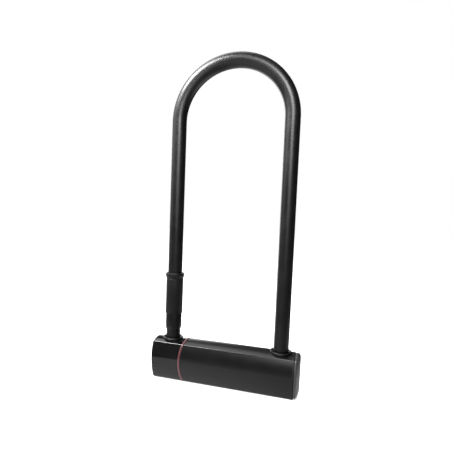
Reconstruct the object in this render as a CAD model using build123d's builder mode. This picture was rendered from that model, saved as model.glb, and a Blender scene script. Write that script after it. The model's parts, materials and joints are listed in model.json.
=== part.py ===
from build123d import *
import math
import os

os.makedirs("parts", exist_ok=True)

# A bicycle U-lock: a bent steel shackle whose two legs drop into a crossbar, where
# two bolts driven by a key cylinder hold them. Millimetres. X runs along the
# crossbar, Y across it, Z up. The origin is the middle of the crossbar's underside.

# ---------------------------------------------------------------- driving dimensions
INNER_WIDTH = 108.0  # clear width between the coated legs
INNER_HEIGHT = 300.0  # crossbar ridge to the inside of the arch
BAR_D = 14.0  # hardened shackle bar
COAT_T = 1.05  # plastic coating on the bar
LEFT_END_X = 82.0  # crossbar's left end, out from the middle
RIGHT_END_X = 83.2  # crossbar's right end
BODY_W = 34.4  # crossbar, widest
BODY_H = 46.0  # crossbar, underside to ridge

# Crossbar outline, in its Y-Z section
CREASE_Z = 43.3  # height of the line where the crown meets the side
BELLY_Z = 26.2  # height of the widest point
UPPER_SIDE_R = 38.7  # side above the widest point
LOWER_SIDE_R = 53.9  # side below it
CREASE_FILLET = 1.2
BASE_FILLET = 4.0

# Walls and gaps
COVER_T = 2.0  # plastic covers
HOUSING_T = 3.0  # steel housing
COVER_GAP = 0.1  # between the covers and the housing
SEAT_GAP = 0.05  # between fixed pieces that nest
SHACKLE_GAP = 0.3  # between the shackle and all that it slides past

# Crossbar ends
LEFT_END_FILLET = 2.0
COVER_END_X = 77.6  # right end of the main cover
COVER_END_FILLET = 0.8
END_CAP_LOW_X = 79.0  # where the end cap comes out to the skin again
END_CAP_NECK = 1.2  # depth of the groove between cover and cap
END_BULGE_R = 38.0  # end cap, seen from above
END_BASE_L = 8.2  # rounding below the right end, along the crossbar
END_BASE_H = 13.0  # the same, in height
END_BASE_BEND = 0.3  # how far in from its corner the rounding passes, as a share
END_TOP_R = 3.5
END_TOP_Z = 42.8
HOUSING_END_X = 74.0
END_PLATE_T = 2.7

# Accent ring: an arc seen from the front
RING_R = 72.0
RING_MID_X = -48.2  # its middle at the height RING_MID_Z
RING_MID_Z = 23.0
RING_W = 2.2
RING_PROUD = 0.5
RING_SEAM = 0.1

# Leg ends
TIP_Z = 6.6
TIP_CHAMFER = 1.5
COAT_END_Z = 40.5
NOTCH_DEPTH = 4.6
NOTCH_CLEAR = 0.8  # above and below the bolt

# Grommets
GROMMET_R = 11.5
GROMMET_TOP_Z = 47.6
GROMMET_FILLET = 0.8
GROMMET_FUNNEL = 1.2
GROMMET_NECK_R = 9.6

# Carrier sleeve on the left leg
LINER_R = 9.1
LINER_LOW_Z = 56.5
LINER_HIGH_Z = 119.5
LINER_FOOT_T = 0.3  # its lower end, thinned to the leg
LINER_TAPER_H = 3.4
SLEEVE_R = 9.7
SLEEVE_LOW_Z = 75.5
SLEEVE_HIGH_Z = 122.0
SLEEVE_FLANGE_R = 10.6
SLEEVE_FLANGE_T = 2.2
SLEEVE_FLANGE_CHAMFER = 0.8
SLEEVE_LEAD = (0.3, 0.5)  # chamfer at its lower end, across and up
SLEEVE_GROOVE_DROP = 7.5  # parting groove, below the sleeve's top
SLEEVE_GROOVE_HALF = 0.3
SLEEVE_GROOVE_DEPTH = 0.25
SLEEVE_FLARE = ((0.0, 6.2), (0.5, 4.6))  # outward step, and its drop below the top

# Bolts and their cam
BOLT_W = 12.0
BOLT_LOW_Z = 29.0
BOLT_H = 9.0
BOLT_TAIL_X = 1.2
BOLT_TIP_GAP = 0.4  # tip to leg with the bolt drawn back
BOLT_THROW = 4.4
BOLT_CHAMFER = 0.8
BOLT_GAP = 0.15
DRIVE_PIN_R = 1.25
DRIVE_PIN_LOW_Z = 24.8
DRIVE_PIN_HIGH_Z = 36.0
DRIVE_PIN_CHAMFER = 0.3
DRIVE_PIN_X = 4.6  # pin to cylinder axis with the bolt drawn back
CAM_TURN = 90.0
CAM_R = 11.6
CAM_LOW_Z = 24.6
CAM_T = 3.6
CAM_SLOT_GAP = 0.1
CAM_STEPS = 8

# Blocks inside the housing
GUIDE_LOW_X = 26.0
GUIDE_HIGH_X = 49.0
GUIDE_LOW_Z = 14.0
BUSH_LOW_X = 50.2
BUSH_LOW_Z = 10.0
BUSH_HIGH_Z = 26.5
PAD_R = 6.3
PAD_T = 1.2

# Cross pins: distance along the crossbar, height, radius
CYLINDER_PIN = (9.0, 22.0, 1.25)
GUIDE_PIN = (37.5, 20.0, 2.0)
BUSH_PIN = (52.3, 18.0, 1.4)

# Key cylinder
SHELL_R = 9.0
SHELL_LOW_Z = 2.3
SHELL_HIGH_Z = 24.0
SHELL_FRONT_T = 1.0
SHELL_CHAMFER = 0.6
KEYHOLE_R = 4.4
CORE_R = 6.8
CORE_GAP = 0.05
SHIELD_LOW_Z = 3.4
SHIELD_T = 1.4
CORE_LOW_Z = 4.9
CORE_FRONT_T = 1.5
CORE_HIGH_Z = 20.8
CAVITY_R = 5.55
DISC_R = 5.4
DISC_T = 1.2
DISC_COUNT = 7
WASHER_T = 0.5
STACK_GAP = 0.08
KEYWAY_L = 7.2
KEYWAY_W = 2.6
SIDEBAR_W = 1.4
SIDEBAR_LOW_Z = 7.0
SIDEBAR_HIGH_Z = 19.5
SIDEBAR_LOW_R = 5.6
SIDEBAR_HIGH_R = 6.65
SIDEBAR_DROP = 0.8  # how far it can move out into the shell's groove
TAIL_LOW_Z = 20.9
TAIL_T = 2.8
TANG_W = 4.0
TANG_HIGH_Z = 28.4
TANG_GAP = 0.05
CAM_WASHER_LOW_Z = 24.05
CAM_WASHER_T = 0.4

# Keyhole bezel and its sliding shutter, in the underside
BEZEL_LOW_X = -10.0
BEZEL_HIGH_X = 32.0
BEZEL_W = 13.1
BEZEL_T = 1.95
BEZEL_FACE_T = 0.95
WINDOW_LOW_X = -6.5
WINDOW_HIGH_X = 13.5
WINDOW_W = 8.4
WINDOW_R = 1.5
SHUTTER_LOW_X = -8.0
SHUTTER_HIGH_X = 14.8
SHUTTER_W = 9.7
SHUTTER_LOW_Z = 1.1
SHUTTER_T = 0.7
SHUTTER_TRAVEL = 14.0
SHUTTER_GAP = 0.15
NUB_X = -4.5
NUB_L = 2.4
NUB_W = 6.4
NUB_RIDGES = 3

# ------------------------------------------------------------------- worked-out sizes
BAR_R = BAR_D / 2
LEG_R = BAR_R + COAT_T
LEG_X = INNER_WIDTH / 2 + LEG_R
ARCH_Z = BODY_H + INNER_HEIGHT - INNER_WIDTH / 2
HOUSING_INSET = COVER_T + COVER_GAP
BORE_INSET = HOUSING_INSET + HOUSING_T
HOUSING_FLOOR_Z = BORE_INSET
BOLT_TIP_X = LEG_X - BAR_R - BOLT_TIP_GAP
BOLT_MID_Z = BOLT_LOW_Z + BOLT_H / 2
RING_CENTRE_X = RING_MID_X + RING_R
CAM_SLOT_HALF = DRIVE_PIN_R + CAM_SLOT_GAP
DISC_PITCH = DISC_T + WASHER_T + 2 * STACK_GAP
CAVITY_LOW_Z = CORE_LOW_Z + CORE_FRONT_T
SIDES = (("left", -1), ("right", 1))
FAR = 100.0  # a cut that runs well past the crossbar


def side_point(radius, height):
    """Point of the side arc of this radius at a height."""
    return (BODY_W / 2 - radius + math.sqrt(radius**2 - (height - BELLY_Z) ** 2), height)


# ------------------------------------------------------------------ shared outlines
CREASE = side_point(UPPER_SIDE_R, CREASE_Z)
UPPER_MID = side_point(UPPER_SIDE_R, (CREASE_Z + BELLY_Z) / 2)
BELLY = (BODY_W / 2, BELLY_Z)
LOWER_MID = side_point(LOWER_SIDE_R, BELLY_Z / 2)
BASE = side_point(LOWER_SIDE_R, 0)

with BuildSketch() as skin_profile:
    with BuildLine() as skin_line:
        ThreePointArc(CREASE, UPPER_MID, BELLY)
        ThreePointArc(BELLY, LOWER_MID, BASE)
        mirror(about=Plane.YZ)
        ThreePointArc((-CREASE[0], CREASE_Z), (0, BODY_H), CREASE)
        Line((-BASE[0], 0), BASE)
    make_face()
    fillet(skin_profile.vertices().group_by(Axis.Y)[-1], radius=CREASE_FILLET)
    fillet(skin_profile.vertices().group_by(Axis.Y)[0], radius=BASE_FILLET)


def inset_profile(inset):
    """The crossbar outline drawn in from the skin by a wall thickness."""
    with BuildSketch() as profile:
        add(skin_profile.sketch)
        offset(amount=-inset, kind=Kind.INTERSECTION)
    return profile.sketch


cover_bore = inset_profile(COVER_T)
housing_outline = inset_profile(HOUSING_INSET)
housing_bore = inset_profile(BORE_INSET)
insert_outline = inset_profile(BORE_INSET + SEAT_GAP)

# Right end of the crossbar from the front: deeply rounded below, less above.
with BuildSketch(Plane.XZ.offset(-BODY_W)) as right_end_outline:
    with BuildLine():
        base_line = Line((-FAR, 0), (RIGHT_END_X - END_BASE_L, 0))
        Spline(
            (RIGHT_END_X - END_BASE_L, 0),
            (RIGHT_END_X - END_BASE_BEND * END_BASE_L, END_BASE_BEND * END_BASE_H),
            (RIGHT_END_X, END_BASE_H),
            tangents=((1, 0), (0, 1)),
        )
        Line((RIGHT_END_X, END_BASE_H), (RIGHT_END_X, END_TOP_Z))
        CenterArc((RIGHT_END_X - END_TOP_R, END_TOP_Z), END_TOP_R, 0, 90)
        top_line = Line(
            (RIGHT_END_X - END_TOP_R, END_TOP_Z + END_TOP_R), (-FAR, END_TOP_Z + END_TOP_R)
        )
        Line(top_line @ 1, base_line @ 0)
    make_face()

with BuildLine(Plane.XZ) as shackle_path:
    Line((-LEG_X, COAT_END_Z), (-LEG_X, ARCH_Z))
    ThreePointArc((-LEG_X, ARCH_Z), (0, ARCH_Z + LEG_X), (LEG_X, ARCH_Z))
    Line((LEG_X, ARCH_Z), (LEG_X, COAT_END_Z))


def cam_slot_wall(side):
    """Points along one wall of the cam's spiral slot; side is 1 outside, -1 inside."""
    wall = []
    for step in range(CAM_STEPS + 1):
        turned = math.radians(CAM_TURN) * step / CAM_STEPS
        radius = DRIVE_PIN_X + BOLT_THROW * step / CAM_STEPS
        growth = BOLT_THROW / math.radians(CAM_TURN)
        outward = Vector(radius, growth).normalized() * side * CAM_SLOT_HALF
        wall.append((Vector(radius, 0) + outward).rotate(Axis.Z, -math.degrees(turned)))
    return wall


# ----------------------------------------------------------------- shackle: bar
# Round bar bent to a U. Each bare leg end has a notch in its inner side for a bolt.
with BuildPart() as shackle_bar:
    with BuildSketch(Plane((-LEG_X, 0, COAT_END_Z))):
        Circle(BAR_R)
    sweep(path=shackle_path.line)
    with BuildSketch(Plane.XY.offset(COAT_END_Z)):
        with Locations((-LEG_X, 0), (LEG_X, 0)):
            Circle(BAR_R)
    extrude(amount=TIP_Z - COAT_END_Z)
    chamfer(shackle_bar.edges().group_by(Axis.Z)[0], length=TIP_CHAMFER)
    with BuildSketch(Plane.XZ.offset(-BAR_D)):
        with Locations((0, BOLT_MID_Z)):
            Rectangle(2 * (LEG_X - BAR_R + NOTCH_DEPTH), BOLT_H + 2 * NOTCH_CLEAR)
    extrude(amount=2 * BAR_D, mode=Mode.SUBTRACT)
shackle_bar.part.label = "shackle_bar"
export_step(shackle_bar.part, "parts/shackle_bar.step")

# ----------------------------------------------------------------- shackle: coating
with BuildPart() as shackle_coating:
    with BuildSketch(Plane((-LEG_X, 0, COAT_END_Z))):
        Circle(LEG_R)
        Circle(BAR_R + SEAT_GAP / 2, mode=Mode.SUBTRACT)
    sweep(path=shackle_path.line)
shackle_coating.part.label = "shackle_coating"
export_step(shackle_coating.part, "parts/shackle_coating.step")

# ----------------------------------------------------------------- shackle: sleeve
# A soft liner on the left leg, with the hard sleeve that a frame holder grips over it.
with BuildPart() as sleeve_liner:
    with BuildSketch(Plane((-LEG_X, 0, 0), x_dir=(1, 0, 0), z_dir=(0, -1, 0))):
        with BuildLine():
            Polyline(
                (LEG_R + SEAT_GAP, LINER_LOW_Z),
                (LEG_R + LINER_FOOT_T, LINER_LOW_Z),
                (LINER_R, LINER_LOW_Z + LINER_TAPER_H),
                (LINER_R, LINER_HIGH_Z),
                (LEG_R + SEAT_GAP, LINER_HIGH_Z),
                close=True,
            )
        make_face()
    revolve(axis=Axis((-LEG_X, 0, 0), (0, 0, 1)))
sleeve_liner.part.label = "sleeve_liner"
export_step(sleeve_liner.part, "parts/sleeve_liner.step")

with BuildPart() as carrier_sleeve:
    with BuildSketch(Plane((-LEG_X, 0, 0), x_dir=(1, 0, 0), z_dir=(0, -1, 0))):
        with BuildLine():
            Polyline(
                (LINER_R + SEAT_GAP, SLEEVE_LOW_Z),
                (SLEEVE_R - SLEEVE_LEAD[0], SLEEVE_LOW_Z),
                (SLEEVE_R, SLEEVE_LOW_Z + SLEEVE_LEAD[1]),
                (SLEEVE_R, SLEEVE_HIGH_Z - SLEEVE_GROOVE_DROP - SLEEVE_GROOVE_HALF),
                (SLEEVE_R - SLEEVE_GROOVE_DEPTH, SLEEVE_HIGH_Z - SLEEVE_GROOVE_DROP),
                (SLEEVE_R, SLEEVE_HIGH_Z - SLEEVE_GROOVE_DROP + SLEEVE_GROOVE_HALF),
                *((SLEEVE_R + step, SLEEVE_HIGH_Z - drop) for step, drop in SLEEVE_FLARE),
                (SLEEVE_FLANGE_R, SLEEVE_HIGH_Z - SLEEVE_FLANGE_T),
                (SLEEVE_FLANGE_R, SLEEVE_HIGH_Z - SLEEVE_FLANGE_CHAMFER),
                (SLEEVE_FLANGE_R - SLEEVE_FLANGE_CHAMFER, SLEEVE_HIGH_Z),
                (LEG_R + SHACKLE_GAP, SLEEVE_HIGH_Z),
                (LEG_R + SHACKLE_GAP, LINER_HIGH_Z + SEAT_GAP),
                (LINER_R + SEAT_GAP, LINER_HIGH_Z + SEAT_GAP),
                close=True,
            )
        make_face()
    revolve(axis=Axis((-LEG_X, 0, 0), (0, 0, 1)))
carrier_sleeve.part.label = "carrier_sleeve"
export_step(carrier_sleeve.part, "parts/carrier_sleeve.step")

# ------------------------------------------------------------- crossbar: glossy cap
# Closed cup over the left end, cut to the accent ring's curve.
with BuildPart() as left_cap:
    with BuildSketch(Plane.YZ.offset(-LEFT_END_X)):
        add(skin_profile.sketch)
    extrude(amount=LEFT_END_X)
    fillet(left_cap.faces().sort_by(Axis.X)[0].edges(), radius=LEFT_END_FILLET)
    with BuildSketch(Plane.YZ.offset(COVER_T - LEFT_END_X)):
        add(cover_bore)
    extrude(amount=LEFT_END_X, mode=Mode.SUBTRACT)
    with BuildSketch(Plane.XZ.offset(-BODY_W)):
        with Locations((RING_CENTRE_X, RING_MID_Z)):
            Circle(RING_R + RING_W / 2 + RING_SEAM)
    extrude(amount=2 * BODY_W, mode=Mode.SUBTRACT)
    with BuildSketch(Plane((-LEG_X, 0, BELLY_Z))):
        Circle(GROMMET_NECK_R + SEAT_GAP)
    extrude(amount=BODY_H, mode=Mode.SUBTRACT)
left_cap.part.label = "left_cap"
export_step(left_cap.part, "parts/left_cap.step")

# ------------------------------------------------------------- crossbar: accent ring
# Stands proud of the covers all round, except on the flat underside.
with BuildPart() as accent_ring:
    with BuildSketch(Plane.YZ.offset(-LEFT_END_X)):
        add(skin_profile.sketch)
        offset(amount=RING_PROUD)
        add(cover_bore, mode=Mode.SUBTRACT)
    extrude(amount=LEFT_END_X)
    with BuildSketch(Plane.XZ.offset(-BODY_W)):
        with Locations((RING_CENTRE_X, RING_MID_Z)):
            Circle(RING_R + RING_W / 2)
            Circle(RING_R - RING_W / 2, mode=Mode.SUBTRACT)
    extrude(amount=2 * BODY_W, mode=Mode.INTERSECT)
    split(bisect_by=Plane.XY)
accent_ring.part.label = "accent_ring"
export_step(accent_ring.part, "parts/accent_ring.step")

# ------------------------------------------------------------- crossbar: main cover
# Sleeve from the accent ring to the right end, with a slot for the keyhole bezel.
with BuildPart() as main_cover:
    with BuildSketch(Plane.YZ.offset(COVER_END_X)):
        add(skin_profile.sketch)
    extrude(amount=-COVER_END_X - LEFT_END_X)
    extrude(right_end_outline.sketch, amount=2 * BODY_W, mode=Mode.INTERSECT)
    fillet(main_cover.faces().sort_by(Axis.X)[-1].edges(), radius=COVER_END_FILLET)
    with BuildSketch(Plane.YZ.offset(COVER_END_X)):
        add(cover_bore)
    extrude(amount=-COVER_END_X - LEFT_END_X, mode=Mode.SUBTRACT)
    with BuildSketch(Plane.XZ.offset(-BODY_W)):
        with Locations((RING_CENTRE_X, RING_MID_Z)):
            Circle(RING_R - RING_W / 2 - RING_SEAM)
            Rectangle(FAR, 2 * BODY_H, align=(Align.MIN, Align.CENTER))
    extrude(amount=2 * BODY_W, mode=Mode.INTERSECT)
    with BuildSketch(Plane((LEG_X, 0, BELLY_Z))):
        Circle(GROMMET_NECK_R + SEAT_GAP)
    extrude(amount=BODY_H, mode=Mode.SUBTRACT)
    with BuildSketch(Plane.XY):
        with Locations(((BEZEL_LOW_X + BEZEL_HIGH_X) / 2, 0)):
            Rectangle(BEZEL_HIGH_X - BEZEL_LOW_X + 2 * SEAT_GAP, BEZEL_W + 2 * SEAT_GAP)
    extrude(amount=2 * COVER_T, mode=Mode.SUBTRACT)
main_cover.part.label = "main_cover"
export_step(main_cover.part, "parts/main_cover.step")

# ------------------------------------------------------------- crossbar: right cap
# Bulging cap, parted from the cover by a groove.
with BuildPart() as right_end_cap:
    with BuildSketch(Plane.YZ.offset(END_CAP_LOW_X)):
        add(skin_profile.sketch)
    extrude(amount=RIGHT_END_X - END_CAP_LOW_X)
    with BuildSketch(Plane.XY):
        with Locations((RIGHT_END_X - END_BULGE_R, 0)):
            Circle(END_BULGE_R)
    extrude(amount=BODY_H, mode=Mode.INTERSECT)
    with BuildSketch(Plane.YZ.offset(COVER_END_X + RING_SEAM)):
        add(skin_profile.sketch)
        offset(amount=-END_CAP_NECK, kind=Kind.INTERSECTION)
    extrude(amount=END_CAP_LOW_X - COVER_END_X - RING_SEAM)
    extrude(right_end_outline.sketch, amount=2 * BODY_W, mode=Mode.INTERSECT)
    with BuildSketch(Plane.YZ.offset(HOUSING_END_X + COVER_GAP)):
        add(housing_outline)
        offset(housing_outline, amount=-COVER_T, mode=Mode.SUBTRACT)
    extrude(until=Until.NEXT)
right_end_cap.part.label = "right_end_cap"
export_step(right_end_cap.part, "parts/right_end_cap.step")

# ------------------------------------------------------------- crossbar: housing
# Hardened steel tube under the covers, bored for the legs, the cylinder and the pins.
with BuildPart() as crossbar_housing:
    with BuildSketch(Plane.YZ.offset(-HOUSING_END_X)):
        add(housing_outline)
        add(housing_bore, mode=Mode.SUBTRACT)
    extrude(amount=2 * HOUSING_END_X)
    with BuildSketch(Plane.XY.offset(BELLY_Z)):
        with Locations((-LEG_X, 0), (LEG_X, 0)):
            Circle(LEG_R + SHACKLE_GAP + SEAT_GAP)
    extrude(amount=BODY_H, mode=Mode.SUBTRACT)
    with BuildSketch(Plane.XY):
        Circle(SHELL_R + SEAT_GAP)
    extrude(amount=BELLY_Z / 2, mode=Mode.SUBTRACT)
    for pin_x, pin_z, pin_r in (CYLINDER_PIN, GUIDE_PIN, BUSH_PIN):
        with BuildSketch(Plane.XZ.offset(-BODY_W)):
            with Locations((-pin_x, pin_z), (pin_x, pin_z)):
                Circle(pin_r + SEAT_GAP)
        extrude(amount=2 * BODY_W, mode=Mode.SUBTRACT)
crossbar_housing.part.label = "crossbar_housing"
export_step(crossbar_housing.part, "parts/crossbar_housing.step")

# ------------------------------------------------------------- crossbar: both ends
for side, sign in SIDES:
    # Plate welded into the end of the housing.
    with BuildPart() as end_plate:
        with BuildSketch(Plane.YZ.offset(sign * HOUSING_END_X)):
            add(insert_outline)
        extrude(amount=-sign * END_PLATE_T)
    end_plate.part.label = f"end_plate_{side}"
    export_step(end_plate.part, f"parts/end_plate_{side}.step")

    # Rubber seal round the leg: a flange on the crown and a neck through the cover.
    with BuildPart() as grommet:
        with BuildSketch(Plane((sign * LEG_X, 0, BELLY_Z))):
            Circle(GROMMET_R)
        extrude(amount=GROMMET_TOP_Z - BELLY_Z)
        fillet(grommet.edges().group_by(Axis.Z)[-1], radius=GROMMET_FILLET)
        with BuildSketch(Plane.YZ):
            add(skin_profile.sketch)
        extrude(amount=sign * FAR, mode=Mode.SUBTRACT)
        with BuildSketch(Plane((sign * LEG_X, 0, BELLY_Z))):
            Circle(GROMMET_NECK_R)
        extrude(amount=BODY_H - BELLY_Z)
        with BuildSketch(Plane.YZ):
            add(housing_outline)
            offset(amount=SEAT_GAP)
        extrude(amount=sign * FAR, mode=Mode.SUBTRACT)
        with BuildSketch(Plane((sign * LEG_X, 0, 0))):
            Circle(LEG_R + SHACKLE_GAP)
        extrude(amount=FAR, mode=Mode.SUBTRACT)
        rims = grommet.edges().filter_by(GeomType.CIRCLE).group_by(Axis.Z)[-1]
        chamfer(rims.group_by(SortBy.RADIUS)[0], length=GROMMET_FUNNEL)
    grommet.part.label = f"grommet_{side}"
    export_step(grommet.part, f"parts/grommet_{side}.step")

    # Steel block that guides the bare end of the leg.
    with BuildPart() as leg_bush:
        with BuildSketch(Plane.YZ.offset(sign * BUSH_LOW_X)):
            add(insert_outline)
            with Locations((0, (BUSH_LOW_Z + BUSH_HIGH_Z) / 2)):
                Rectangle(BODY_W, BUSH_HIGH_Z - BUSH_LOW_Z, mode=Mode.INTERSECT)
        extrude(amount=sign * (HOUSING_END_X - END_PLATE_T - SEAT_GAP - BUSH_LOW_X))
        with BuildSketch(Plane((sign * LEG_X, 0, 0))):
            Circle(BAR_R + SHACKLE_GAP)
        extrude(amount=BODY_H, mode=Mode.SUBTRACT)
        with BuildSketch(Plane.XZ.offset(-BODY_W)):
            with Locations((sign * BUSH_PIN[0], BUSH_PIN[1])):
                Circle(BUSH_PIN[2] + SEAT_GAP)
        extrude(amount=2 * BODY_W, mode=Mode.SUBTRACT)
    leg_bush.part.label = f"leg_bush_{side}"
    export_step(leg_bush.part, f"parts/leg_bush_{side}.step")

    # Rubber pad that the leg's tip stops on.
    with BuildPart() as leg_pad:
        with BuildSketch(Plane((sign * LEG_X, 0, HOUSING_FLOOR_Z))):
            Circle(PAD_R)
        extrude(amount=PAD_T)
    leg_pad.part.label = f"leg_pad_{side}"
    export_step(leg_pad.part, f"parts/leg_pad_{side}.step")

    # Block that fills the housing around the bolt and carries its channel.
    with BuildPart() as bolt_guide:
        with BuildSketch(Plane.YZ.offset(sign * GUIDE_LOW_X)):
            add(insert_outline)
            with Locations((0, GUIDE_LOW_Z + BODY_H / 2)):
                Rectangle(BODY_W, BODY_H, mode=Mode.INTERSECT)
            with Locations((0, BOLT_MID_Z)):
                Rectangle(BOLT_W + 2 * BOLT_GAP, BOLT_H + 2 * BOLT_GAP, mode=Mode.SUBTRACT)
        extrude(amount=sign * (GUIDE_HIGH_X - GUIDE_LOW_X))
        with BuildSketch(Plane.XZ.offset(-BODY_W)):
            with Locations((sign * GUIDE_PIN[0], GUIDE_PIN[1])):
                Circle(GUIDE_PIN[2] + SEAT_GAP)
        extrude(amount=2 * BODY_W, mode=Mode.SUBTRACT)
    bolt_guide.part.label = f"bolt_guide_{side}"
    export_step(bolt_guide.part, f"parts/bolt_guide_{side}.step")

    # Sliding bolt, drawn back clear of the leg.
    with BuildPart() as bolt:
        with BuildSketch(Plane.YZ.offset(sign * BOLT_TAIL_X)):
            with Locations((0, BOLT_MID_Z)):
                Rectangle(BOLT_W, BOLT_H)
        extrude(amount=sign * (BOLT_TIP_X - BOLT_TAIL_X))
        tip_face = bolt.faces().sort_by(Axis((0, 0, 0), (sign, 0, 0)))[-1]
        chamfer(tip_face.edges(), length=BOLT_CHAMFER)
        with BuildSketch(Plane((sign * DRIVE_PIN_X, 0, BOLT_LOW_Z))):
            Circle(DRIVE_PIN_R + SEAT_GAP / 2)
        extrude(amount=DRIVE_PIN_HIGH_Z - BOLT_LOW_Z, mode=Mode.SUBTRACT)
    bolt.part.label = f"bolt_{side}"
    export_step(bolt.part, f"parts/bolt_{side}.step")

    # Pin pressed into the bolt's underside, which runs in the cam's slot.
    with BuildPart() as drive_pin:
        with BuildSketch(Plane((sign * DRIVE_PIN_X, 0, DRIVE_PIN_LOW_Z))):
            Circle(DRIVE_PIN_R)
        extrude(amount=DRIVE_PIN_HIGH_Z - DRIVE_PIN_LOW_Z)
        chamfer(drive_pin.edges().group_by(Axis.Z)[0], length=DRIVE_PIN_CHAMFER)
    drive_pin.part.label = f"drive_pin_{side}"
    export_step(drive_pin.part, f"parts/drive_pin_{side}.step")

# ------------------------------------------------------------- crossbar: cross pins
for pin_name, (pin_x, pin_z, pin_r) in (
    ("cylinder_pins", CYLINDER_PIN),
    ("guide_pins", GUIDE_PIN),
    ("bush_pins", BUSH_PIN),
):
    pin_reach = side_point(LOWER_SIDE_R, pin_z - pin_r)[0] - HOUSING_INSET - SEAT_GAP
    with BuildPart() as cross_pins:
        with BuildSketch(Plane.XZ.offset(-pin_reach)):
            with Locations((-pin_x, pin_z), (pin_x, pin_z)):
                Circle(pin_r)
        extrude(amount=2 * pin_reach)
    cross_pins.part.label = pin_name
    export_step(cross_pins.part, f"parts/{pin_name}.step")

# ------------------------------------------------------------- key cylinder: shell
with BuildPart() as cylinder_shell:
    with BuildSketch(Plane.XY.offset(SHELL_LOW_Z)):
        Circle(SHELL_R)
    extrude(amount=SHELL_HIGH_Z - SHELL_LOW_Z)
    chamfer(cylinder_shell.edges().group_by(Axis.Z)[0], length=SHELL_CHAMFER)
    with BuildSketch(Plane.XY.offset(SHELL_LOW_Z)):
        Circle(KEYHOLE_R)
    extrude(amount=SHELL_HIGH_Z, mode=Mode.SUBTRACT)
    with BuildSketch(Plane.XY.offset(SHELL_LOW_Z + SHELL_FRONT_T)):
        Circle(CORE_R + CORE_GAP)
    extrude(amount=SHELL_HIGH_Z, mode=Mode.SUBTRACT)
    # Groove that the sidebar drops into when the lock is shut.
    with BuildSketch(Plane((-CORE_R, 0, SIDEBAR_LOW_Z - SHACKLE_GAP))):
        Rectangle(2 * (SIDEBAR_HIGH_R + SIDEBAR_DROP - CORE_R), SIDEBAR_W + 2 * SHUTTER_GAP)
    extrude(amount=SIDEBAR_HIGH_Z - SIDEBAR_LOW_Z + 2 * SHACKLE_GAP, mode=Mode.SUBTRACT)
    with BuildSketch(Plane.XZ.offset(-BODY_W)):
        with Locations((-CYLINDER_PIN[0], CYLINDER_PIN[1]), (CYLINDER_PIN[0], CYLINDER_PIN[1])):
            Circle(CYLINDER_PIN[2] + SEAT_GAP)
    extrude(amount=2 * BODY_W, mode=Mode.SUBTRACT)
cylinder_shell.part.label = "cylinder_shell"
export_step(cylinder_shell.part, "parts/cylinder_shell.step")

# Thin washer between the shell and the turning cam.
with BuildPart() as cam_washer:
    with BuildSketch(Plane.XY.offset(CAM_WASHER_LOW_Z)):
        Circle(SHELL_R)
        Circle(CORE_R, mode=Mode.SUBTRACT)
    extrude(amount=CAM_WASHER_T)
cam_washer.part.label = "cam_washer"
export_step(cam_washer.part, "parts/cam_washer.step")

# ------------------------------------------------------------- key cylinder: core
with BuildPart() as drill_shield:
    with BuildSketch(Plane.XY.offset(SHIELD_LOW_Z)):
        Circle(CORE_R - SEAT_GAP)
        SlotOverall(KEYWAY_L, KEYWAY_W, mode=Mode.SUBTRACT)
    extrude(amount=SHIELD_T)
drill_shield.part.label = "drill_shield"
export_step(drill_shield.part, "parts/drill_shield.step")

with BuildPart() as cylinder_core:
    with BuildSketch(Plane.XY.offset(CORE_LOW_Z)):
        Circle(CORE_R)
    extrude(amount=CORE_HIGH_Z - CORE_LOW_Z)
    with BuildSketch(Plane.XY.offset(CORE_LOW_Z)):
        SlotOverall(KEYWAY_L, KEYWAY_W)
    extrude(amount=CORE_FRONT_T, mode=Mode.SUBTRACT)
    with BuildSketch(Plane.XY.offset(CAVITY_LOW_Z)):
        Circle(CAVITY_R)
    extrude(amount=CORE_HIGH_Z, mode=Mode.SUBTRACT)
    with BuildSketch(Plane((0, CORE_R, SIDEBAR_LOW_Z - SEAT_GAP))):
        Rectangle(SIDEBAR_W + 2 * SEAT_GAP, 2 * (CORE_R - CAVITY_R) + SEAT_GAP)
    extrude(amount=SIDEBAR_HIGH_Z - SIDEBAR_LOW_Z + 2 * SEAT_GAP, mode=Mode.SUBTRACT)
cylinder_core.part.label = "cylinder_core"
export_step(cylinder_core.part, "parts/cylinder_core.step")

with BuildPart() as sidebar:
    with BuildSketch(Plane((0, (SIDEBAR_LOW_R + SIDEBAR_HIGH_R) / 2, SIDEBAR_LOW_Z))):
        Rectangle(SIDEBAR_W, SIDEBAR_HIGH_R - SIDEBAR_LOW_R)
    extrude(amount=SIDEBAR_HIGH_Z - SIDEBAR_LOW_Z)
sidebar.part.label = "sidebar"
export_step(sidebar.part, "parts/sidebar.step")

# Turning code discs, parted by washers that stay still in the core.
with BuildPart() as code_discs:
    for number in range(DISC_COUNT):
        disc_z = CAVITY_LOW_Z + STACK_GAP + WASHER_T + STACK_GAP + number * DISC_PITCH
        with BuildSketch(Plane.XY.offset(disc_z)):
            Circle(DISC_R)
            SlotOverall(KEYWAY_L, KEYWAY_W, mode=Mode.SUBTRACT)
        extrude(amount=DISC_T)
code_discs.part.label = "code_discs"
export_step(code_discs.part, "parts/code_discs.step")

with BuildPart() as disc_washers:
    for number in range(DISC_COUNT + 1):
        with BuildSketch(Plane.XY.offset(CAVITY_LOW_Z + STACK_GAP + number * DISC_PITCH)):
            Circle(DISC_R)
            Circle(KEYHOLE_R - STACK_GAP, mode=Mode.SUBTRACT)
        extrude(amount=WASHER_T)
disc_washers.part.label = "disc_washers"
export_step(disc_washers.part, "parts/disc_washers.step")

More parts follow.
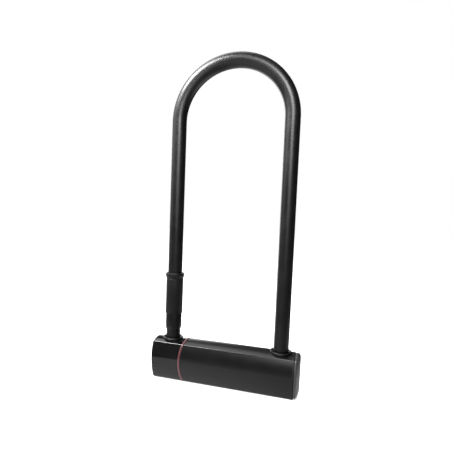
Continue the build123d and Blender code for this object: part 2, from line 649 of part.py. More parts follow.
# Tailpiece: closes the core and drives the cam with a square tang.
with BuildPart() as tailpiece:
    with BuildSketch(Plane.XY.offset(TAIL_LOW_Z)):
        Circle(CORE_R - SEAT_GAP)
    extrude(amount=TAIL_T)
    with BuildSketch(Plane.XY.offset(TAIL_LOW_Z)):
        Rectangle(TANG_W, TANG_W)
    extrude(amount=TANG_HIGH_Z - TAIL_LOW_Z)
tailpiece.part.label = "tailpiece"
export_step(tailpiece.part, "parts/tailpiece.step")

# Cam with two spiral slots, whose radius grows evenly with the turn.
with BuildPart() as cam_disc:
    with BuildSketch(Plane.XY.offset(CAM_LOW_Z)):
        Circle(CAM_R)
        Rectangle(TANG_W + 2 * TANG_GAP, TANG_W + 2 * TANG_GAP, mode=Mode.SUBTRACT)
    extrude(amount=CAM_T)
    with BuildSketch(Plane.XY.offset(CAM_LOW_Z)) as cam_slot:
        with BuildLine():
            outer_wall = Spline(cam_slot_wall(1))
            inner_wall = Spline(cam_slot_wall(-1))
            Line(outer_wall @ 0, inner_wall @ 0)
            Line(outer_wall @ 1, inner_wall @ 1)
        make_face()
        with Locations((outer_wall @ 0 + inner_wall @ 0) / 2, (outer_wall @ 1 + inner_wall @ 1) / 2):
            Circle(CAM_SLOT_HALF)
        with PolarLocations(0, 2):
            add(cam_slot.sketch_local)
    extrude(amount=CAM_T, mode=Mode.SUBTRACT)
cam_disc.part.label = "cam_disc"
export_step(cam_disc.part, "parts/cam_disc.step")

# ------------------------------------------------------------- keyhole: bezel
# Insert in the main cover's underside: a window below, a channel for the shutter above.
with BuildPart() as keyhole_bezel:
    with BuildSketch(Plane.XY):
        with Locations(((BEZEL_LOW_X + BEZEL_HIGH_X) / 2, 0)):
            Rectangle(BEZEL_HIGH_X - BEZEL_LOW_X, BEZEL_W)
    extrude(amount=BEZEL_T)
    with BuildSketch(Plane.XY):
        with Locations(((WINDOW_LOW_X + WINDOW_HIGH_X) / 2, 0)):
            RectangleRounded(WINDOW_HIGH_X - WINDOW_LOW_X, WINDOW_W, radius=WINDOW_R)
    extrude(amount=BEZEL_T, mode=Mode.SUBTRACT)
    with BuildSketch(Plane.XY.offset(BEZEL_FACE_T)):
        with Locations(((SHUTTER_LOW_X + SHUTTER_HIGH_X + SHUTTER_TRAVEL) / 2, 0)):
            Rectangle(
                SHUTTER_HIGH_X - SHUTTER_LOW_X + SHUTTER_TRAVEL + 2 * SHACKLE_GAP,
                SHUTTER_W + 2 * SHUTTER_GAP,
            )
    extrude(amount=BEZEL_T, mode=Mode.SUBTRACT)
keyhole_bezel.part.label = "keyhole_bezel"
export_step(keyhole_bezel.part, "parts/keyhole_bezel.step")

# ------------------------------------------------------------- keyhole: shutter
with BuildPart() as key_shutter:
    with BuildSketch(Plane.XY.offset(SHUTTER_LOW_Z)):
        with Locations(((SHUTTER_LOW_X + SHUTTER_HIGH_X) / 2, 0)):
            Rectangle(SHUTTER_HIGH_X - SHUTTER_LOW_X, SHUTTER_W)
    extrude(amount=SHUTTER_T)
    # Ribbed nub for the thumb, inside the window.
    with BuildSketch(Plane.XY.offset(SHUTTER_LOW_Z)):
        with Locations((NUB_X, 0)):
            with GridLocations(NUB_L / NUB_RIDGES, 0, NUB_RIDGES, 1):
                Rectangle(NUB_L / NUB_RIDGES / 2, NUB_W)
    extrude(amount=-(SHUTTER_LOW_Z - 2 * SHUTTER_GAP))
key_shutter.part.label = "key_shutter"
export_step(key_shutter.part, "parts/key_shutter.step")
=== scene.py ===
import json
import math

import bpy
from mathutils import Matrix, Vector


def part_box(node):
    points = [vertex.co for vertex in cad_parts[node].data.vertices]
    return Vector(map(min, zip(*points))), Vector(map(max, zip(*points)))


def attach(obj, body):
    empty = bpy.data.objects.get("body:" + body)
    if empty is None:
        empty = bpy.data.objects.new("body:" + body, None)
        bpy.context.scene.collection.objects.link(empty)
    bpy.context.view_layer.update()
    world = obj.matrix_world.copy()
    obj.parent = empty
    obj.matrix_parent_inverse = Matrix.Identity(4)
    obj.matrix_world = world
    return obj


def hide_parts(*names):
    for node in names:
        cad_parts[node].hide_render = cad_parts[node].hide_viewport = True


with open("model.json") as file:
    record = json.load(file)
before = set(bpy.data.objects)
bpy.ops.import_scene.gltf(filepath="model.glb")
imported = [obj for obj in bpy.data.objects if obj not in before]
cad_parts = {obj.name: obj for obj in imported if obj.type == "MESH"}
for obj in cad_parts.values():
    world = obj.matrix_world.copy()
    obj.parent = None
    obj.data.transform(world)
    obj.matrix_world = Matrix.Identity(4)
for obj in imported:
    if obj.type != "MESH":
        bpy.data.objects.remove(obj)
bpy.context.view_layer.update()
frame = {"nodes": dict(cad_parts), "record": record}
NODES = frame["nodes"]
MM = 0.001

# ------------------------------------------------------------------ shader helpers
NOISE_ROUGHNESS = 0.55


def node(tree, kind, **values):
    """A shader node with its properties set."""
    made = tree.nodes.new(kind)
    for key, value in values.items():
        setattr(made, key, value)
    return made


def feed(tree, value, socket):
    """Link an output to a socket, or set the socket's own value."""
    if isinstance(value, bpy.types.NodeSocket):
        tree.links.new(value, socket)
    else:
        socket.default_value = value


def calc(tree, operation, first, second=0.0):
    made = node(tree, "ShaderNodeMath", operation=operation)
    feed(tree, first, made.inputs[0])
    feed(tree, second, made.inputs[1])
    return made.outputs[0]


def ramp(tree, value, start, end, low, high):
    """Map value from start..end smoothly to low..high, held flat outside."""
    made = node(tree, "ShaderNodeMapRange", interpolation_type="SMOOTHSTEP")
    feed(tree, value, made.inputs["Value"])
    made.inputs["From Min"].default_value = start
    made.inputs["From Max"].default_value = end
    made.inputs["To Min"].default_value = low
    made.inputs["To Max"].default_value = high
    return made.outputs["Result"]


def noise(tree, coords, scale, detail):
    made = node(tree, "ShaderNodeTexNoise")
    made.inputs["Scale"].default_value = scale
    made.inputs["Detail"].default_value = detail
    made.inputs["Roughness"].default_value = NOISE_ROUGHNESS
    tree.links.new(coords, made.inputs["Vector"])
    return made.outputs["Fac"]


def part_of(tree, vector, axis):
    """One coordinate of a vector."""
    split = node(tree, "ShaderNodeSeparateXYZ")
    tree.links.new(vector, split.inputs[0])
    return split.outputs[axis]


def mixed(tree, factor, first, second):
    made = node(tree, "ShaderNodeMix", data_type="RGBA")
    feed(tree, factor, made.inputs["Factor"])
    for socket, colour in ((made.inputs["A"], first), (made.inputs["B"], second)):
        feed(tree, (*colour, 1.0), socket)
    return made.outputs["Result"]


# ------------------------------------------------------------------ materials
BLOTCH_SCALE = 55.0  # blotches of colour and gloss, per metre
BLOTCH_DETAIL = 4.0
BLOTCH_SPAN = (0.3, 0.7)
GRAIN_DETAIL = 2.0
WAVE_DETAIL = 1.0


def finish_of(name, colour, rough, metal=0.0, grain=0.0, grain_size=0.4, mottle=0.2,
              specular=0.5, smear=0.04, wave=0.0, wave_size=6.0, lines=None, dull=None):
    """A moulded, dipped or machined finish: mottled colour, uneven gloss, fine grain.

    grain and wave are bump heights, and grain_size and wave_size their sizes, in
    millimetres. lines is an axis that machining marks run round, with their pitch and
    depth in millimetres. dull is a span along X, in metres, over which the roughness
    grows, and by how much.
    """
    mat = bpy.data.materials.new(name)
    mat.use_nodes = True
    tree = mat.node_tree
    shader = tree.nodes["Principled BSDF"]
    coords = node(tree, "ShaderNodeTexCoord").outputs["Object"]
    blotch = noise(tree, coords, BLOTCH_SCALE, BLOTCH_DETAIL)
    dark = tuple(c * (1 - mottle) for c in colour)
    light = tuple(c * (1 + mottle) for c in colour)
    base = mixed(tree, ramp(tree, blotch, *BLOTCH_SPAN, 0.0, 1.0), dark, light)
    tree.links.new(base, shader.inputs["Base Color"])
    roughness = ramp(tree, blotch, *BLOTCH_SPAN, rough - smear, rough + smear)
    if dull:
        start, end, growth = dull
        rising = ramp(tree, part_of(tree, coords, "X"), start, end, 0.0, growth)
        roughness = calc(tree, "ADD", roughness, rising)
    tree.links.new(roughness, shader.inputs["Roughness"])
    shader.inputs["Metallic"].default_value = metal
    shader.inputs["Specular IOR Level"].default_value = specular
    layers = []
    if grain:
        fine = noise(tree, coords, 1 / (grain_size * MM), GRAIN_DETAIL)
        layers.append(calc(tree, "MULTIPLY", fine, grain))
    if wave:
        broad = noise(tree, coords, 1 / (wave_size * MM), WAVE_DETAIL)
        layers.append(calc(tree, "MULTIPLY", broad, wave))
    if lines:
        axis, pitch, depth = lines
        turns = calc(tree, "MULTIPLY", part_of(tree, coords, axis), 2 * math.pi / (pitch * MM))
        layers.append(calc(tree, "MULTIPLY", calc(tree, "SINE", turns), depth))
    height = layers[0]
    for layer in layers[1:]:
        height = calc(tree, "ADD", height, layer)
    bump = node(tree, "ShaderNodeBump")
    bump.inputs["Strength"].default_value = 1.0
    bump.inputs["Distance"].default_value = MM
    tree.links.new(height, bump.inputs["Height"])
    tree.links.new(bump.outputs["Normal"], shader.inputs["Normal"])
    return mat


SATIN_LOOK = {"colour": (0.0022, 0.0021, 0.0023), "rough": 0.3, "grain": 0.004,
              "grain_size": 0.35, "specular": 0.56, "smear": 0.012}
SATIN = finish_of("satin_black", **SATIN_LOOK)
END_SATIN = finish_of("end_satin", (0.022, 0.0218, 0.0222), 0.45, grain=0.004, grain_size=0.35,
                      specular=0.9)
GLOSS = finish_of("gloss_black", (0.0025, 0.0025, 0.0028), 0.06, smear=0.012, wave=0.002,
                  specular=0.56)
MATTE = finish_of("matte_black", (0.002, 0.002, 0.0021), 0.45, grain=0.006, grain_size=0.4,
                  specular=0.42)
RED = finish_of("accent_red", (0.09, 0.022, 0.026), 0.34, grain=0.002, grain_size=0.6,
                specular=1.0)
RUBBER = finish_of("black_rubber", (0.002, 0.002, 0.002), 0.36, grain=0.004, grain_size=0.5,
                   specular=0.45)
VINYL = finish_of("shackle_vinyl", (0.0012, 0.0012, 0.0013), 0.35, grain=0.0003, grain_size=0.9,
                  wave=0.0015, wave_size=9.0, specular=0.56)
STEEL = finish_of("hardened_steel", (0.13, 0.13, 0.135), 0.38, metal=1.0, grain=0.004,
                  mottle=0.3)
BRIGHT = finish_of("bright_steel", (0.5, 0.5, 0.51), 0.26, metal=1.0, grain=0.001,
                   lines=("Z", 0.35, 0.002))
CAST = finish_of("cast_metal", (0.2, 0.2, 0.205), 0.5, metal=1.0, grain=0.02, grain_size=0.9)
BRASS = finish_of("machined_brass", (0.6, 0.4, 0.15), 0.28, metal=1.0, grain=0.001,
                  lines=("Z", 0.4, 0.002))

SLOT_FINISH = {
    "satin_black_plastic": SATIN,
    "gloss_black_plastic": GLOSS,
    "matte_black_plastic": MATTE,
    "red_plastic": RED,
    "black_rubber": RUBBER,
    "shackle_coat": VINYL,
    "hardened_steel": STEEL,
    "bright_steel": BRIGHT,
    "cast_metal": CAST,
    "brass": BRASS,
}
NODE_SLOT = {part["node"]: part["material_slot"] for part in frame["record"]["subparts"]}
for name, slot in NODE_SLOT.items():
    mesh = NODES[name].data
    mesh.materials.clear()
    mesh.materials.append(SLOT_FINISH[slot])


def low(name, axis):
    """A node's lowest coordinate along an axis, in millimetres."""
    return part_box(name)[0][axis] / MM


def high(name, axis):
    """A node's highest coordinate along an axis, in millimetres."""
    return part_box(name)[1][axis] / MM


def radius_of(name, axis):
    """Half of a round node's width along an axis, in millimetres."""
    return (high(name, axis) - low(name, axis)) / 2


# The cover is duller over its rounded right edge.
COVER_END = high("main_cover", 0)
DULL_FROM = 2.5  # distances from the cover's end
DULL_TO = 0.6
DULL_GROWTH = 0.3
NODES["main_cover"].data.materials[0] = finish_of(
    "cover_satin",
    **SATIN_LOOK,
    dull=((COVER_END - DULL_FROM) * MM, (COVER_END - DULL_TO) * MM, DULL_GROWTH),
)

# ------------------------------------------------------------------ modelled pieces
# Sizes are in millimetres until a piece's points are made.


def stand_in(name, rings, closed, body, replaced, finish=None):
    """Quad mesh over rows of points; it rides on a body and takes a CAD node's finish.

    closed says whether each row, and the stack of rows, joins up with itself.
    """
    width = len(rings[0])
    points = [point * MM for ring in rings for point in ring]
    faces = []
    for row in range(len(rings) if closed[1] else len(rings) - 1):
        for column in range(width if closed[0] else width - 1):
            start = row * width
            after = (row + 1) % len(rings) * width
            following = (column + 1) % width
            faces.append(
                (start + column, start + following, after + following, after + column)
            )
    mesh = bpy.data.meshes.new(name)
    mesh.from_pydata(points, [], faces)
    mesh.validate()
    mesh.shade_smooth()
    slot = NODE_SLOT[replaced]
    mesh.materials.append(finish or SLOT_FINISH[slot])
    piece = bpy.data.objects.new(name, mesh)
    bpy.context.collection.objects.link(piece)
    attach(piece, body)
    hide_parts(replaced)
    return piece


def soft_corner(before, corner, after, blend, steps):
    """Quadratic curve round a corner, from blend before it to blend after it."""
    first = corner + (before - corner).normalized() * blend
    last = corner + (after - corner).normalized() * blend
    curve = []
    for step in range(steps + 1):
        t = step / steps
        curve.append(first * (1 - t) ** 2 + corner * 2 * t * (1 - t) + last * t**2)
    return curve


PROFILE_STEPS = 5
TURN_SIDES = 96


def turned(name, corners, centre_x, body, replaced):
    """Closed ring turned about a vertical axis, through (radius, height, blend) corners."""
    outline = []
    for index, (radius, height, blend) in enumerate(corners):
        here = Vector((radius, height))
        if blend:
            before = Vector(corners[index - 1][:2])
            after = Vector(corners[(index + 1) % len(corners)][:2])
            outline += soft_corner(before, here, after, blend, PROFILE_STEPS)
        else:
            outline.append(here)
    rings = []
    for side in range(TURN_SIDES):
        angle = 2 * math.pi * side / TURN_SIDES
        across, deep = math.cos(angle), math.sin(angle)
        rings.append(
            [Vector((centre_x + across * point.x, deep * point.x, point.y)) for point in outline]
        )
    return stand_in(name, rings, (True, True), body, replaced)


BAR_R = radius_of("shackle_bar", 1)
LEG_R = radius_of("shackle_coating", 1)
LEG_X = high("shackle_coating", 0) - LEG_R
ARCH_Z = high("shackle_coating", 2) - LEG_X - LEG_R
COAT_END_Z = low("shackle_coating", 2)

# Coating: one smooth tube round the U, with a rolled lip at each end.
TUBE_SIDES = 72
ARCH_STEPS = 120
LEG_STEPS = 60
LIP = 0.8


def leg_row(sign, height, radius):
    return (Vector((sign * LEG_X, 0, height)), Vector((sign, 0, 0)), radius)


def leg_end(sign):
    """Rows of a rolled lip, from inside the coating outwards."""
    return [
        leg_row(sign, COAT_END_Z + LIP, BAR_R),
        leg_row(sign, COAT_END_Z, BAR_R + LIP / 4),
        leg_row(sign, COAT_END_Z + LIP / 2, LEG_R - LIP / 8),
    ]


leg_start = COAT_END_Z + LIP
climb = [leg_start + (ARCH_Z - leg_start) * step / LEG_STEPS for step in range(LEG_STEPS + 1)]
rows = leg_end(-1) + [leg_row(-1, height, LEG_R) for height in climb]
for step in range(1, ARCH_STEPS):
    angle = math.pi * (1 - step / ARCH_STEPS)
    outward = Vector((math.cos(angle), 0, math.sin(angle)))
    rows.append((Vector((0, 0, ARCH_Z)) + outward * LEG_X, outward, LEG_R))
rows += [leg_row(1, height, LEG_R) for height in reversed(climb)] + leg_end(1)[::-1]
tube = []
for centre, outward, radius in rows:
    ring = []
    for side in range(TUBE_SIDES):
        angle = 2 * math.pi * side / TUBE_SIDES
        offset = outward * math.cos(angle) + Vector((0, 1, 0)) * math.sin(angle)
        ring.append(centre + offset * radius)
    tube.append(ring)
stand_in("shackle_skin", tube, (True, False), "shackle", "shackle_coating")

# Liner on the left leg: a thin foot that tapers out to the full wall.
LINER_R = radius_of("sleeve_liner", 0)
LINER_LOW = low("sleeve_liner", 2)
LINER_HIGH = high("sleeve_liner", 2)
FOOT_WALL = 0.35
FOOT_BLEND = 0.15
TAPER_H = 3.4
TAPER_BLEND = 1.2
turned(
    "liner_skin",
    (
        (LEG_R, LINER_LOW, 0),
        (LEG_R + FOOT_WALL, LINER_LOW, FOOT_BLEND),
        (LINER_R, LINER_LOW + TAPER_H, TAPER_BLEND),
        (LINER_R, LINER_HIGH, 0),
        (LEG_R, LINER_HIGH, 0),
    ),
    -LEG_X,
    "shackle",
    "sleeve_liner",
)

# Carrier sleeve: straight wall, a parting groove, then a flare up to the flange.
FLANGE_R = radius_of("carrier_sleeve", 0)
FLANGE_PROUD = 0.9
SLEEVE_R = FLANGE_R - FLANGE_PROUD
SLEEVE_LOW = low("carrier_sleeve", 2)
SLEEVE_HIGH = high("carrier_sleeve", 2)
SLEEVE_OVERLAP = 0.2  # how far it reaches into the liner
SLEEVE_FOOT_BLEND = 0.45
GROOVE_DROP = 6.5  # this and the drops below are from the sleeve's top
GROOVE_HALF_W = 0.4
GROOVE_DEPTH = 0.4
GROOVE_BLEND = 0.1
FLARE_DROP = 5.6
FLARE_BLEND = 0.8
FLANGE_DROP = 3.0
FLANGE_BLEND = 0.9
LEG_GAP = 0.1
turned(
    "sleeve_skin",
    (
        (LINER_R - SLEEVE_OVERLAP, SLEEVE_LOW, 0),
        (SLEEVE_R, SLEEVE_LOW, SLEEVE_FOOT_BLEND),
        (SLEEVE_R, SLEEVE_HIGH - GROOVE_DROP - GROOVE_HALF_W, GROOVE_BLEND),
        (SLEEVE_R - GROOVE_DEPTH, SLEEVE_HIGH - GROOVE_DROP, GROOVE_BLEND),
        (SLEEVE_R, SLEEVE_HIGH - GROOVE_DROP + GROOVE_HALF_W, GROOVE_BLEND),
        (SLEEVE_R, SLEEVE_HIGH - FLARE_DROP, FLARE_BLEND),
        (FLANGE_R, SLEEVE_HIGH - FLANGE_DROP, FLANGE_BLEND),
        (FLANGE_R, SLEEVE_HIGH, FLANGE_BLEND),
        (LEG_R + LEG_GAP, SLEEVE_HIGH, 0),
    ),
    -LEG_X,
    "shackle",
    "carrier_sleeve",
)

# Grommets: a flat collar with a rounded rim and a funnel towards the leg.
COLLAR_R = radius_of("grommet_left", 0)
COLLAR_TOP = high("grommet_left", 2)
COLLAR_LOW = low("grommet_left", 2)
COLLAR_GAP = 0.3
COLLAR_FLAT = 1.9  # width of the flat on top
COLLAR_BLEND = 1.0
FUNNEL_DEPTH = 1.3
FUNNEL_BLEND = 0.3
FUNNEL_LOW_BLEND = 0.2
for side, sign in (("left", -1), ("right", 1)):
    turned(
        f"collar_{side}",
        (
            (LEG_R + COLLAR_GAP, COLLAR_LOW, 0),
            (COLLAR_R, COLLAR_LOW, 0),
            (COLLAR_R, COLLAR_TOP, COLLAR_BLEND),
            (COLLAR_R - COLLAR_FLAT, COLLAR_TOP, FUNNEL_BLEND),
            (LEG_R + COLLAR_GAP, COLLAR_TOP - FUNNEL_DEPTH, FUNNEL_LOW_BLEND),
        ),
        sign * LEG_X,
        "crossbar",
        f"grommet_{side}",
    )

# ------------------------------------------------------------------ crossbar outline
# The crossbar's section: arcs above and below the belly, a shallow crown and a flat base.
HALF_W = high("main_cover", 1)
RIDGE_Z = high("main_cover", 2)
CREASE_DROP = 2.7
BELLY_DROP = 19.8
CREASE_Z = RIDGE_Z - CREASE_DROP
BELLY_Z = RIDGE_Z - BELLY_DROP
UPPER_SIDE_R = 38.7
LOWER_SIDE_R = 53.9
CREASE_ROUND = 1.5
BASE_ROUND = 3.6
BASE_AIM_Z = 4.0  # the point of the side that the base's corner is turned towards
CREASE_AIM = 1.6  # the same on the crown, in from the crease
BASE_GAP = 0.6  # plain stretches left beside the rounded corners
SIDE_GAP = 0.3
CROWN_GAP = 0.4
BASE_STEPS = 6
BASE_ROUND_STEPS = 8
SIDE_STEPS = 24
CREASE_STEPS = 10
CROWN_STEPS = 12


def side_y(height):
    radius = UPPER_SIDE_R if height > BELLY_Z else LOWER_SIDE_R
    return HALF_W - radius + math.sqrt(radius**2 - (height - BELLY_Z) ** 2)


def half_section():
    """Back half of the outline as (y, z), from the base's middle up to the ridge."""
    crease = Vector((side_y(CREASE_Z), CREASE_Z))
    base = Vector((side_y(0), 0))
    crown_r = (crease.x**2 + (RIDGE_Z - CREASE_Z) ** 2) / 2 / (RIDGE_Z - CREASE_Z)

    def crown(across):
        return Vector((across, RIDGE_Z - crown_r + math.sqrt(crown_r**2 - across**2)))

    points = [Vector((base.x * step / BASE_STEPS, 0)) for step in range(BASE_STEPS - 1)]
    base_aim = Vector((side_y(BASE_AIM_Z), BASE_AIM_Z))
    points += soft_corner(points[-1], base, base_aim, BASE_ROUND, BASE_ROUND_STEPS)
    start, end = BASE_ROUND + BASE_GAP, CREASE_Z - CREASE_ROUND - SIDE_GAP
    for step in range(SIDE_STEPS + 1):
        height = start + (end - start) * step / SIDE_STEPS
        points.append(Vector((side_y(height), height)))
    crown_aim = crown(crease.x - CREASE_AIM)
    points += soft_corner(points[-1], crease, crown_aim, CREASE_ROUND, CREASE_STEPS)
    crown_start = crease.x - CREASE_ROUND - CROWN_GAP
    points += [crown(crown_start * (1 - step / CROWN_STEPS)) for step in range(CROWN_STEPS + 1)]
    return points


half = half_section()
section = [Vector((-p.x, p.y)) for p in half] + [Vector(p) for p in reversed(half[1:-1])]

# Accent ring: a half-round bead that follows the section.
RING_R = 72.0
RING_MID_X = -48.2
RING_MID_Z = 23.0
RING_HALF_W = 1.1
RING_PROUD = 0.5
RING_FLUSH_Z = 0.6  # below this it is flush, so that the lock stands flat
RING_DEPTH = 1.2
RING_STEPS = 10


def ring_x(height):
    return RING_MID_X + RING_R - math.sqrt(RING_R**2 - (height - RING_MID_Z) ** 2)


bead = []
for index, point in enumerate(section):
    along = section[(index + 1) % len(section)] - section[index - 1]
    outward = Vector((-along.y, along.x)).normalized()
    if outward.dot(point - Vector((0, BELLY_Z))) < 0:
        outward = -outward
    row = []
    for step in range(RING_STEPS + 1):
        angle = math.pi * step / RING_STEPS
        across = -math.cos(angle) * RING_HALF_W
        rise = math.sin(angle) * RING_PROUD if point.y > RING_FLUSH_Z else 0.0
        place = point + outward * rise
        row.append(Vector((ring_x(point.y) + across, *place)))
    root = point - outward * RING_DEPTH
    for across in (RING_HALF_W, -RING_HALF_W):
        row.append(Vector((ring_x(point.y) + across, *root)))
    bead.append(row)
stand_in("accent_bead", bead, (True, True), "crossbar", "accent_ring")

# Right end cap: a groove, then a face that bulges and is rounded off all round.
CAP_LOW_X = 79.0
CAP_HIGH_X = high("right_end_cap", 0)
NECK_GAP = 0.1
NECK_DEPTH = 0.4
BULGE_DROP = 4.0
BULGE_POWER = 2.5
CORNER_LOW = (8.2, 13.0)  # rounding below, along the crossbar and in height
CORNER_HIGH = (4.6, 41.7)  # rounding above: radius and the height of its centre
CORNER_BLEND = 1.6
RIM_SHARE = 0.09
RIM_POWER = 2.0
CAP_STEPS = 28
CAP_TIP_SHARE = 0.002  # size of the last ring, which closes the face


def corner_x(height):
    """How far the outline of the right end reaches at a height."""
    if height < CORNER_LOW[1]:
        share = 1 - height / CORNER_LOW[1]
        return CAP_HIGH_X - CORNER_LOW[0] * (1 - math.sqrt(max(0.0, 1 - share**2)))
    if height > CORNER_HIGH[1]:
        above = min(height - CORNER_HIGH[1], CORNER_HIGH[0])
        return CAP_HIGH_X - CORNER_HIGH[0] + math.sqrt(CORNER_HIGH[0] ** 2 - above**2)
    return CAP_HIGH_X


def face_x(across, height):
    """The bulge and the outline, blended where they meet."""
    reach = abs(across) / side_y(min(height, CREASE_Z))
    bulge = CAP_HIGH_X + CORNER_BLEND / 4 - BULGE_DROP * reach**BULGE_POWER
    edge = corner_x(height) + CORNER_BLEND / 4
    near = max(CORNER_BLEND - abs(bulge - edge), 0.0) / CORNER_BLEND
    return max(min(bulge, edge) - near**2 * CORNER_BLEND / 4, CAP_LOW_X)


# Where the lower rounding meets CAP_LOW_X: its reach as a share, and its height.
RIM_REACH = 1 - (CAP_HIGH_X - CAP_LOW_X) / CORNER_LOW[0]
RIM_LOW_Z = CORNER_LOW[1] * (1 - math.sqrt(1 - RIM_REACH**2))


def cap_place(point, scale):
    """A point of the section, kept above the lower rounding and scaled about the belly."""
    height = BELLY_Z + (max(point.y, RIM_LOW_Z) - BELLY_Z) * scale
    return point.x * scale, height


neck = 1 - NECK_DEPTH / HALF_W
cap = [
    [Vector((x, *cap_place(point, neck))) for point in section]
    for x in (COVER_END + NECK_GAP, CAP_LOW_X)
]
for step in range(CAP_STEPS + 1):
    share = max(math.cos(math.pi / 2 * step / CAP_STEPS), CAP_TIP_SHARE)
    rim = max(share - 1 + RIM_SHARE, 0.0) / RIM_SHARE
    rise = (1 - rim**RIM_POWER) ** (1 / RIM_POWER)
    ring = []
    for point in section:
        across, height = cap_place(point, share)
        x = CAP_LOW_X + (face_x(across, height) - CAP_LOW_X) * rise
        ring.append(Vector((x, across, height)))
    cap.append(ring)
stand_in("end_cap_skin", cap, (True, False), "crossbar", "right_end_cap", END_SATIN)

# ------------------------------------------------------------------ studio


def dot(tree, direction, axis):
    made = node(tree, "ShaderNodeVectorMath", operation="DOT_PRODUCT")
    made.inputs[1].default_value = axis
    tree.links.new(direction, made.inputs[0])
    return made.outputs["Value"]


def compass(azimuth, elevation=0.0):
    """Unit vector; azimuth in degrees runs from the front (-Y) towards +X."""
    az, el = math.radians(azimuth), math.radians(elevation)
    return Vector((math.sin(az) * math.cos(el), -math.cos(az) * math.cos(el), math.sin(el)))


def float_mix(tree, factor, first, second):
    made = node(tree, "ShaderNodeMix", data_type="FLOAT")
    for socket, value in (("Factor", factor), ("A", first), ("B", second)):
        feed(tree, value, made.inputs[socket])
    return made.outputs["Result"]


WALL_GLOW = 0.14
DARK_SIDE_AZIMUTH = 135
DARK_SIDE = (0.1, 0.4, 1.0, 0.5)  # from, to, and the walls' share at each
# Round soft patches: azimuth, elevation, radii of the full and the faded edge, brightness.
PATCHES = (
    (-78.0, 34.0, 12.0, 42.0, 1.9),  # left
    (-143.0, -2.0, 17.0, 29.0, 3.2),  # behind, left
    (-138.0, 62.0, 10.0, 24.0, 2.2),  # high behind
)
TABLE = (-0.25, 0.1, 0.88, 0.3)  # from and to along X, and the brightness at each
FAR_RIGHT_AIM = (130, -30)
FAR_RIGHT = (0.75, 0.95, 0.0, 0.9)
TABLE_EDGE = (-0.31, -0.35)  # where the walls end and the table starts, along Z

world = bpy.data.worlds.new("studio")
bpy.context.scene.world = world
world.use_nodes = True
tree = world.node_tree
direction = node(tree, "ShaderNodeTexCoord").outputs["Generated"]
# Walls: dim, darkest on the right and behind, with soft bright patches.
dark_side = ramp(tree, dot(tree, direction, compass(DARK_SIDE_AZIMUTH)), *DARK_SIDE)
walls = calc(tree, "MULTIPLY", dark_side, WALL_GLOW)
for azimuth, elevation, inner, outer, glow in PATCHES:
    nearness = dot(tree, direction, compass(azimuth, elevation))
    start, end = math.cos(math.radians(outer)), math.cos(math.radians(inner))
    walls = calc(tree, "ADD", walls, ramp(tree, nearness, start, end, 0.0, glow))
# Table: bright on the left, darker to the right, bright again far to the right.
table = ramp(tree, part_of(tree, direction, "X"), *TABLE)
far_right = ramp(tree, dot(tree, direction, compass(*FAR_RIGHT_AIM)), *FAR_RIGHT)
table = calc(tree, "ADD", table, far_right)
under = ramp(tree, part_of(tree, direction, "Z"), *TABLE_EDGE, 0.0, 1.0)
total = float_mix(tree, under, walls, table)
camera_ray = node(tree, "ShaderNodeLightPath").outputs["Is Camera Ray"]
seen = float_mix(tree, camera_ray, total, 1.0)
tree.links.new(seen, tree.nodes["Background"].inputs["Color"])

FLOOR_HALF = 6  # metres
PAPER_COLOUR = (0.9, 0.9, 0.9, 1.0)
PAPER_GLOW = 0.6
floor_mesh = bpy.data.meshes.new("floor")
floor_mesh.from_pydata(
    [(x * FLOOR_HALF, y * FLOOR_HALF, 0) for x, y in ((-1, -1), (1, -1), (1, 1), (-1, 1))],
    [],
    [(0, 1, 2, 3)],
)
floor = bpy.data.objects.new("floor", floor_mesh)
bpy.context.collection.objects.link(floor)
floor.visible_glossy = False
paper = bpy.data.materials.new("floor_paper")
paper.use_nodes = True
paper_shader = paper.node_tree.nodes["Principled BSDF"]
paper_shader.inputs["Base Color"].default_value = PAPER_COLOUR
paper_shader.inputs["Roughness"].default_value = 1.0
paper_shader.inputs["Specular IOR Level"].default_value = 0.0
paper_shader.inputs["Emission Color"].default_value = (1.0, 1.0, 1.0, 1.0)
paper_shader.inputs["Emission Strength"].default_value = PAPER_GLOW
floor_mesh.materials.append(paper)

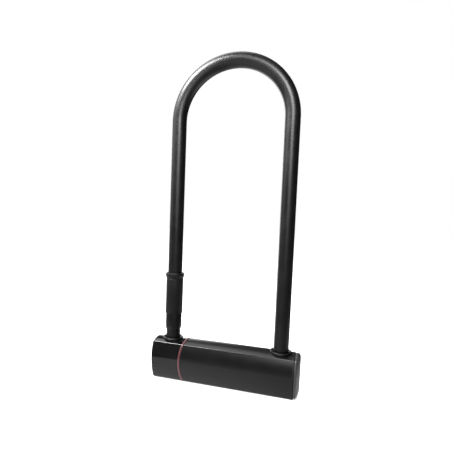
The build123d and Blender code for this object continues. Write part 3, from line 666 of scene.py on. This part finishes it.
# Rectangular lights: name, place, aim, size, brightness when looked at, shown in gloss.
LIGHTS = (
    ("key_left", (-271, -201, 607), (-40, 0, 345), (290, 140), 40.0, True),
    ("key_front", (128, -470, 555), (0, 0, 320), (230, 190), 17.0, True),
    ("fill_high", (128, -470, 390), (0, 0, 300), (250, 110), 4.6, True),
    ("fill_low", (128, -470, 250), (0, 0, 200), (250, 150), 1.3, True),
    ("overhead", (-200, 300, 1500), (0, 0, 0), (1600, 1600), 1.0, False),
)
for name, place, aim, (width, height), glow, glossy in LIGHTS:
    lamp = bpy.data.lights.new(name, "AREA")
    lamp.shape = "RECTANGLE"
    lamp.size = width * MM
    lamp.size_y = height * MM
    lamp.energy = glow * 4 * lamp.size * lamp.size_y
    light = bpy.data.objects.new(name, lamp)
    light.location = Vector(place) * MM
    light.rotation_euler = (Vector(aim) * MM - light.location).to_track_quat("-Z", "Y").to_euler()
    light.visible_glossy = glossy
    light.visible_camera = False
    bpy.context.collection.objects.link(light)

# ------------------------------------------------------------------ camera
IMAGE_W = 452
SENSOR_W = 36.0
AZIMUTH = 16.71
ELEVATION = 3.86
ROLL = math.radians(2.11)
TARGET = Vector((-22.59, 0.0, 110.24 + RIDGE_Z)) * MM
DISTANCE = 400 * MM
FOCAL = 358.18 / IMAGE_W  # focal length as a share of the image's width
SHIFT_X = 0.0378
SHIFT_Y = 0.0417
CLIP_START = 0.01

camera = bpy.data.cameras.new("camera")
camera.sensor_width = SENSOR_W
camera.lens = FOCAL * SENSOR_W
camera.shift_x = SHIFT_X
camera.shift_y = SHIFT_Y
camera.clip_start = CLIP_START
camera_object = bpy.data.objects.new("camera", camera)
bpy.context.collection.objects.link(camera_object)
back = compass(AZIMUTH, ELEVATION)
level = compass(AZIMUTH + 90)
upright = back.cross(level)
right = level * math.cos(ROLL) + upright * math.sin(ROLL)
up = upright * math.cos(ROLL) - level * math.sin(ROLL)
turn = Matrix((right, up, back)).transposed()
camera_object.matrix_world = Matrix.Translation(TARGET + back * DISTANCE) @ turn.to_4x4()
bpy.context.scene.camera = camera_object
bpy.context.scene.view_settings.view_transform = "Standard"
